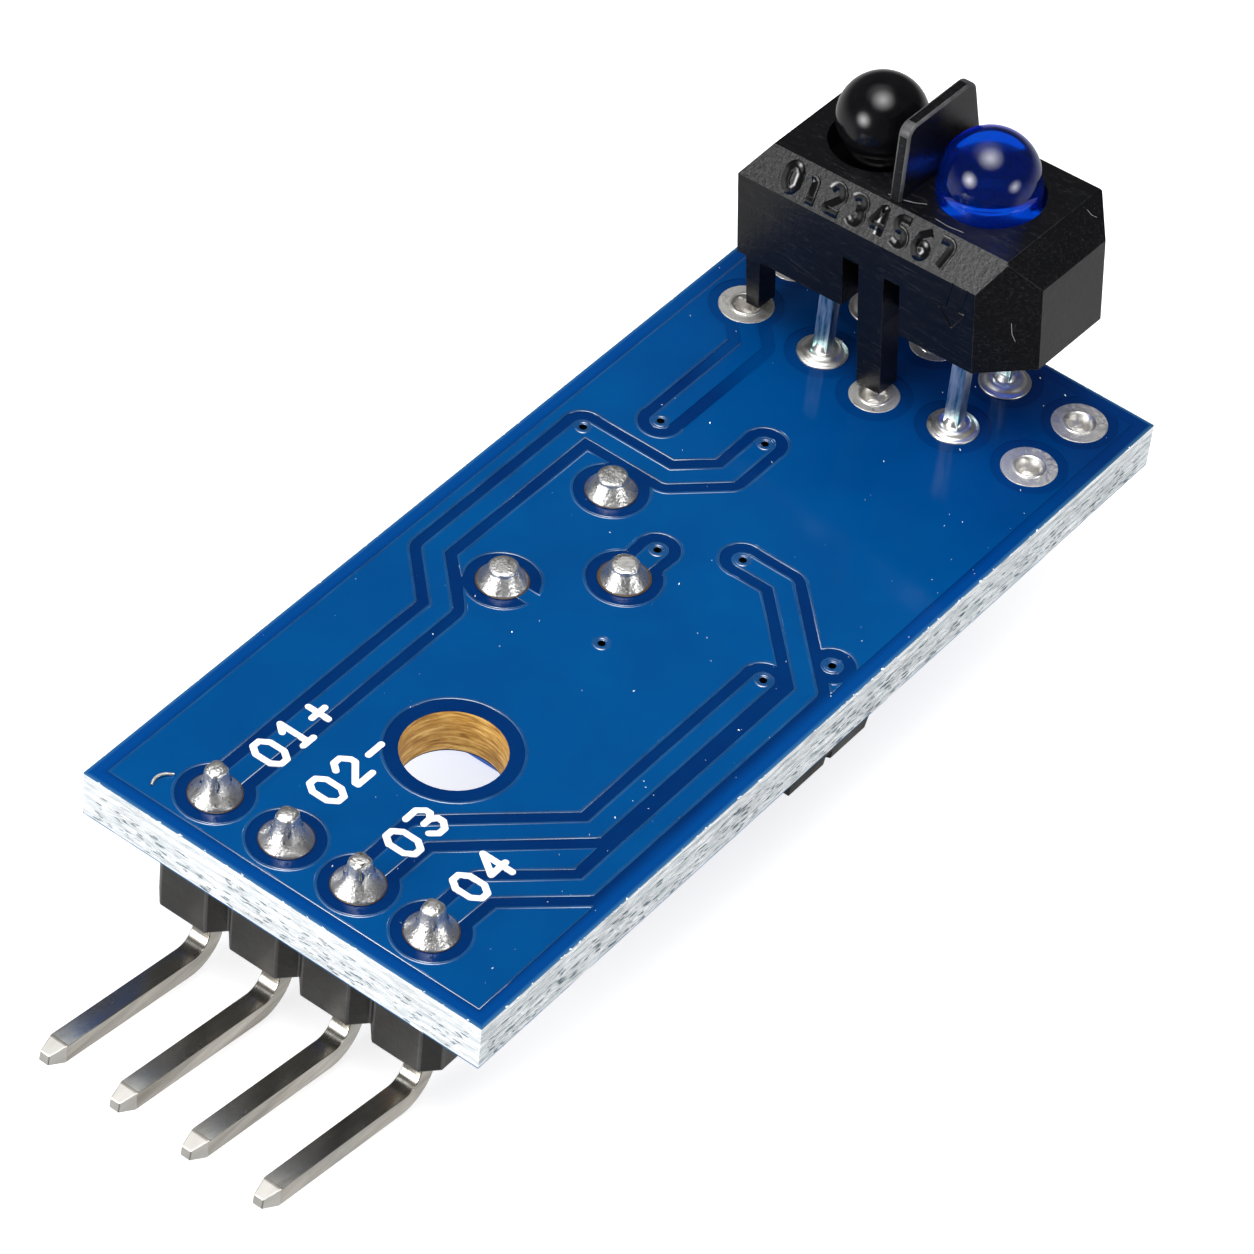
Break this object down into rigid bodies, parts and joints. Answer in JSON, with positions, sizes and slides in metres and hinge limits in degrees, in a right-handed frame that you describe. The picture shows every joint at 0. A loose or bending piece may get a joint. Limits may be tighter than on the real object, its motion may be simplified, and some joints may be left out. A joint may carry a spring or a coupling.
{
  "type": "reflective infrared sensor module",
  "caption": "Small circuit-board sensor with a two-lens infrared head, a bent pin header, a mounting hole and a turning sensitivity trimmer.",
  "frame": {"origin": "on the mounting-hole axis, at the sensor-side face of the board", "axes": "+X along the board towards the sensor end, +Z out of the sensor-side face, +Y across the board away from the chip-side edge"},
  "size_m": [0.0383, 0.014, 0.0159],
  "materials": {
    "laminate": "glass-fibre laminate, rough sawn edge",
    "solder_mask": "blue solder mask, satin gloss",
    "copper": "copper foil under the mask",
    "tin": "tinned, satin",
    "solder": "bright tin solder",
    "white_ink": "screen-printed ink",
    "housing_black": "moulded black plastic, fine texture",
    "emitter_blue": "clear blue epoxy, polished",
    "detector_black": "dark daylight-filter epoxy, polished",
    "header_black": "moulded black plastic",
    "trimmer_blue": "moulded blue plastic",
    "ceramic_white": "fired alumina",
    "track_dark": "cermet ink",
    "rotor_white": "moulded white plastic",
    "seal_red": "silicone rubber",
    "contact_brass": "spring contact",
    "chip_black": "moulded epoxy, matt",
    "resistor_black": "glazed film",
    "capacitor_tan": "fired ceramic",
    "indicator_clear": "clear epoxy",
    "die_grey": "polished semiconductor"
  },
  "bodies": {
    "module": {"fibreglass_board": "laminate", "top_copper": "copper", "top_solder_mask": "solder_mask", "underside_copper": "copper", "underside_solder_mask": "solder_mask", "component_pads": "tin", "printed_pin_marks": "white_ink", "header_ring_pads": "tin", "trimmer_ring_pads": "tin", "sensor_ring_pads": "tin", "spare_ring_pads": "tin", "via_barrels": "tin", "header_body": "header_black", "header_pin_1": "tin", "header_pin_2": "tin", "header_pin_3": "tin", "header_pin_4": "tin", "header_solder_joints": "solder", "trimmer_solder_joints": "solder", "sensor_solder_joints": "solder", "sensor_housing": "housing_black", "emitter_lens_body": "emitter_blue", "detector_lens_body": "detector_black", "emitter_front_lead": "tin", "emitter_rear_lead": "tin", "detector_front_lead": "tin", "detector_rear_lead": "tin", "emitter_chip": "die_grey", "detector_chip": "die_grey", "trimmer_case": "trimmer_blue", "trimmer_base": "ceramic_white", "trimmer_track": "track_dark", "trimmer_pins": "tin", "trimmer_seal": "seal_red", "comparator_body": "chip_black", "comparator_leads": "tin", "chip_resistors": "resistor_black", "chip_resistor_ends": "tin", "chip_capacitors": "capacitor_tan", "chip_capacitor_ends": "tin", "indicator_lenses": "indicator_clear", "indicator_bases": "ceramic_white", "indicator_ends": "tin"},
    "trimmer_turning_part": {"trimmer_rotor": "rotor_white", "trimmer_wiper": "contact_brass"}
  },
  "joints": [
    {"name": "trimmer_turn", "type": "hinge", "parent": "module", "child": "trimmer_turning_part", "pos_m": [0.0087, 0.0024, -0.004], "axis": [0, 0, -1], "range_deg": [-130, 130]}
  ]
}
